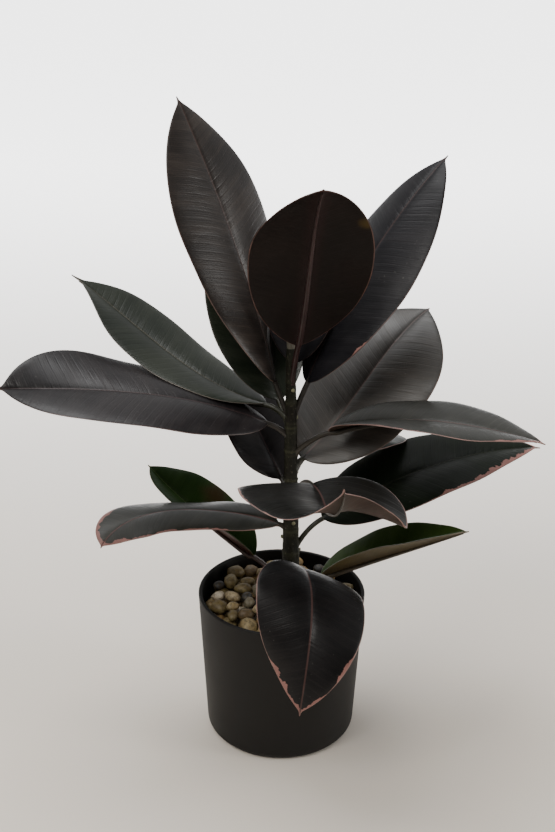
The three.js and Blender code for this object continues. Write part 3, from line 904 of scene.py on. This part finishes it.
def make_side_buds():
    """A small pale knob on the stem just above each petiole."""
    knob = fresh(bpy.ops.mesh.primitive_ico_sphere_add, "blank_side_bud", subdivisions=3, radius=1)
    for vertex in knob.data.vertices:
        x, y, z = vertex.co
        drawn_in = 1 - 0.45 * max(0.0, z)
        vertex.co = Vector((x * drawn_in, y * drawn_in, z * (1.35 if z > 0 else 1)))
    buds = []
    for leaf in LEAVES.values():
        bud = copy_of(knob, "side_bud")
        outward = direction(leaf["heading"], 0)
        height = leaf["height"] + SIDE_BUD * 2.3
        root = stem_point(height) + outward * (stem_radius(height) + SIDE_BUD * 0.15)
        axis = direction(leaf["heading"], SIDE_BUD_LEAN)
        lean = Vector((0, 0, 1)).rotation_difference(axis).to_matrix()
        for vertex in bud.data.vertices:
            vertex.co = root + lean @ (vertex.co * SIDE_BUD)
        buds.append(bud)
    whole = joined("side_buds", buds)
    whole.data.materials.append(sprout_finish())
    smooth(whole, 60)
    settle(whole, "bud")
    bpy.data.objects.remove(knob)


# ------------------------------------------------------------------ pot
def pot_finish():
    finish, tree, shader = new_finish("matte_black_plastic")
    place = place_of(tree)
    grain = speckle(tree, place, 900.0, 3.0)
    cloud = between(tree, speckle(tree, place, 14.0, 3.0), 0.3, 0.7)
    tree.links.new(
        blend(tree, cloud, (0.0062, 0.0058, 0.0055), (0.0088, 0.0082, 0.0077)),
        shader.inputs["Base Color"])
    tree.links.new(between(tree, cloud, 0, 1, 0.54, 0.62), shader.inputs["Roughness"])
    shader.inputs["Specular IOR Level"].default_value = 0.25
    tree.links.new(bump(tree, grain, 0.22, 0.0003), shader.inputs["Normal"])
    return finish


def make_pot():
    """A tapered cylinder hollowed from the top, with its rim, foot and inner corner rounded."""
    pot = fresh(
        bpy.ops.mesh.primitive_cylinder_add, "pot_look",
        vertices=POT_SIDES, radius=RIM_RADIUS, depth=POT_HEIGHT, location=(0, 0, POT_HEIGHT / 2))
    only(pot)
    bpy.ops.object.transform_apply(location=True, rotation=True, scale=True)
    bpy.ops.object.mode_set(mode="EDIT")
    pick(pot, lambda face: face.normal.z < -0.9)
    shrink = BASE_RADIUS / RIM_RADIUS
    bpy.ops.transform.resize(value=(shrink, shrink, 1), center_override=(0, 0, 0))
    pick(pot, lambda face: face.normal.z > 0.9)
    bpy.ops.mesh.inset(thickness=WALL)
    bpy.ops.mesh.extrude_region_move(
        TRANSFORM_OT_translate={"value": (0, 0, POT_FLOOR - POT_HEIGHT)})
    narrow = (BASE_RADIUS - WALL) / (RIM_RADIUS - WALL)
    bpy.ops.transform.resize(value=(narrow, narrow, 1), center_override=(0, 0, 0))
    high, near = POT_HEIGHT - 1e-5, 1e-5
    pick_edges(pot, lambda co: co.z > high)
    bpy.ops.mesh.bevel(offset=RIM_ROUNDING, segments=5, affect="EDGES")
    pick_edges(pot, lambda co: co.z < near and co.xy.length > BASE_RADIUS * 0.9)
    bpy.ops.mesh.bevel(offset=FOOT_ROUNDING, segments=7, affect="EDGES")
    pick_edges(
        pot, lambda co: abs(co.z - POT_FLOOR) < near and abs(co.xy.length - BASE_RADIUS + WALL) < 0.002)
    bpy.ops.mesh.bevel(offset=INNER_ROUNDING, segments=4, affect="EDGES")
    bpy.ops.object.mode_set(mode="OBJECT")
    pot.data.materials.append(pot_finish())
    smooth(pot, 40)
    settle(pot, "pot", "pot")


# ------------------------------------------------------------------ gravel
def pebble_finish():
    finish, tree, shader = new_finish("river_pebbles")
    place = place_of(tree)
    tint = node(tree, "Attribute", attribute_name="tint").outputs["Fac"]
    ramp = node(tree, "ValToRGB", {0: tint})
    ramp.color_ramp.interpolation = "CONSTANT"
    tones = [
        (0.0, (0.32, 0.215, 0.085)), (0.22, (0.37, 0.29, 0.145)), (0.42, (0.21, 0.165, 0.070)),
        (0.58, (0.42, 0.34, 0.20)), (0.68, (0.16, 0.110, 0.050)), (0.78, (0.19, 0.170, 0.115)),
        (0.84, (0.58, 0.52, 0.41)), (0.89, (0.026, 0.025, 0.025))]
    stops = ramp.color_ramp.elements
    for k, (at, tone) in enumerate(tones):
        stop = stops[k] if k < len(stops) else stops.new(at)
        stop.position = at
        stop.color = (*tone, 1)
    clouds = between(tree, speckle(tree, place, 130.0, 4.0), 0.3, 0.7)
    shaded = blend(tree, 1.0, ramp.outputs[0], (0.62, 0.55, 0.46), "MULTIPLY")
    colour = blend(tree, clouds, shaded, ramp.outputs[0])
    patches = between(tree, speckle(tree, place, 380.0, 5.0, 0.7), 0.47, 0.60)
    colour = blend(tree, math_node(tree, "MULTIPLY", patches, 0.65), colour, (0.070, 0.052, 0.024))
    grit = between(tree, speckle(tree, place, 900.0, 3.0), 0.60, 0.72)
    colour = blend(tree, math_node(tree, "MULTIPLY", grit, 0.4), colour, (0.10, 0.075, 0.045))
    tree.links.new(colour, shader.inputs["Base Color"])
    shader.inputs["Roughness"].default_value = 0.5
    tree.links.new(bump(tree, speckle(tree, place, 420.0, 5.0), 0.6, 0.0009), shader.inputs["Normal"])
    return finish


def bed_finish():
    finish, tree, shader = new_finish("gravel_painted_gap_shade")
    place = place_of(tree)
    stones = node(tree, "TexVoronoi", {"Vector": place, "Scale": 140.0})
    # light at each stone's middle and dark where stones meet: painted shade in the gaps
    tone = blend(tree, stones.outputs["Distance"], (0.09, 0.07, 0.04), (0.012, 0.009, 0.006))
    tree.links.new(tone, shader.inputs["Base Color"])
    shader.inputs["Roughness"].default_value = 0.8
    depth = math_node(tree, "MULTIPLY", stones.outputs["Distance"], -1.0)
    tree.links.new(bump(tree, depth, 0.9, 0.003), shader.inputs["Normal"])
    return finish


def soil_finish():
    finish, tree, shader = new_finish("potting_soil")
    place = place_of(tree)
    crumbs = speckle(tree, place, 260.0, 5.0, 0.65)
    tree.links.new(
        blend(tree, between(tree, crumbs, 0.35, 0.65), (0.012, 0.008, 0.005), (0.055, 0.035, 0.022)),
        shader.inputs["Base Color"])
    shader.inputs["Roughness"].default_value = 0.95
    tree.links.new(bump(tree, crumbs, 0.8, 0.0015), shader.inputs["Normal"])
    return finish


def shape_pebble(stone, middle, half, turn, seed, tint):
    """Gives a copied pebble its own lumps, size, turn and colour."""
    spin = Matrix.Rotation(turn, 3, "Z")
    for vertex in stone.data.vertices:
        co = vertex.co.normalized()
        lump = 1 + 0.24 * noise.noise(co * 1.3 + Vector((seed * 3.1, seed, 0)))
        lump += 0.05 * noise.noise(co * 3.1 + Vector((0, seed * 2.3, seed)))
        shaped = Vector((co.x * half[0], co.y * half[1], co.z * half[2]))
        vertex.co = Vector(middle) + spin @ shaped * lump
    tints = stone.data.attributes.new("tint", "FLOAT", "POINT")
    tints.data.foreach_set("value", [tint] * len(stone.data.vertices))


def make_gravel():
    """The pebbles that stand for their CAD stones, the loose stones round them, and what lies under."""
    dice = random.Random(GRAVEL_SEED)
    finish = pebble_finish()
    fine = fresh(bpy.ops.mesh.primitive_ico_sphere_add, "blank_pebble", subdivisions=4, radius=1)
    coarse = fresh(bpy.ops.mesh.primitive_ico_sphere_add, "blank_small_pebble", subdivisions=2, radius=1)
    pebbles = []
    for number in range(1, PEBBLES + 1):
        name = f"pebble_{number:02d}"
        low, high = (Vector(corner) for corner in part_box(name))
        middle, half = (low + high) / 2, (high - low) / 2
        stone = copy_of(fine, name + "_look")
        shape_pebble(
            stone, middle + Vector((0, 0, PEBBLE_LIFT)), half * PEBBLE_FULLNESS, 0, number, dice.random())
        stone.data.materials.append(finish)
        for polygon in stone.data.polygons:
            polygon.use_smooth = True
        settle(stone, "gravel", name)
        pebbles.append((middle.x, middle.y, (half.x + half.y) / 2))

    # The first layer of loose stones fills in between the pebbles; the others lie under and over them.
    reach = RIM_RADIUS - WALL - WALL_GAP
    stem_at = (STEM_FOOT.x, STEM_FOOT.y, STEM_BASE_RADIUS)
    loose = []
    for layer, (tries, pack, lift) in enumerate(LOOSE_LAYERS):
        near = [stem_at] + (pebbles if layer == 0 else [])
        for _ in range(tries):
            size = dice.uniform(*SMALL_STONE)
            turn, out = dice.uniform(0, math.tau), (reach - 1.3 * size) * math.sqrt(dice.random())
            x, y = out * math.cos(turn), out * math.sin(turn)
            if all(math.hypot(x - s[0], y - s[1]) >= pack * (size + s[2]) for s in near):
                near.append((x, y, size))
                loose.append((x, y, size, lift))
    stones = []
    for number, (x, y, size, lift) in enumerate(loose):
        stone = copy_of(coarse, "small_pebble")
        half = (
            size * dice.uniform(1.0, 1.25), size * dice.uniform(0.8, 1.0),
            size * dice.uniform(0.65, 0.85))
        z = GRAVEL_TOP - half[2] - dice.uniform(0.0002, 0.0028) + lift
        shape_pebble(stone, (x, y, z), half, dice.uniform(0, math.pi), 50 + number, dice.random())
        stones.append(stone)
    fill = joined("loose_gravel", stones)
    fill.data.materials.append(finish)
    for polygon in fill.data.polygons:
        polygon.use_smooth = True
    settle(fill, "gravel")
    for spare in (fine, coarse):
        bpy.data.objects.remove(spare)

    for name, make in (("gravel_bed", bed_finish), ("potting_mix", soil_finish)):
        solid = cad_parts[name]
        solid.data.materials.clear()
        solid.data.materials.append(make())


# ------------------------------------------------------------------ making it all
studio()
make_pot()
make_gravel()
make_stem()
make_bud()
make_side_buds()
make_leaves()
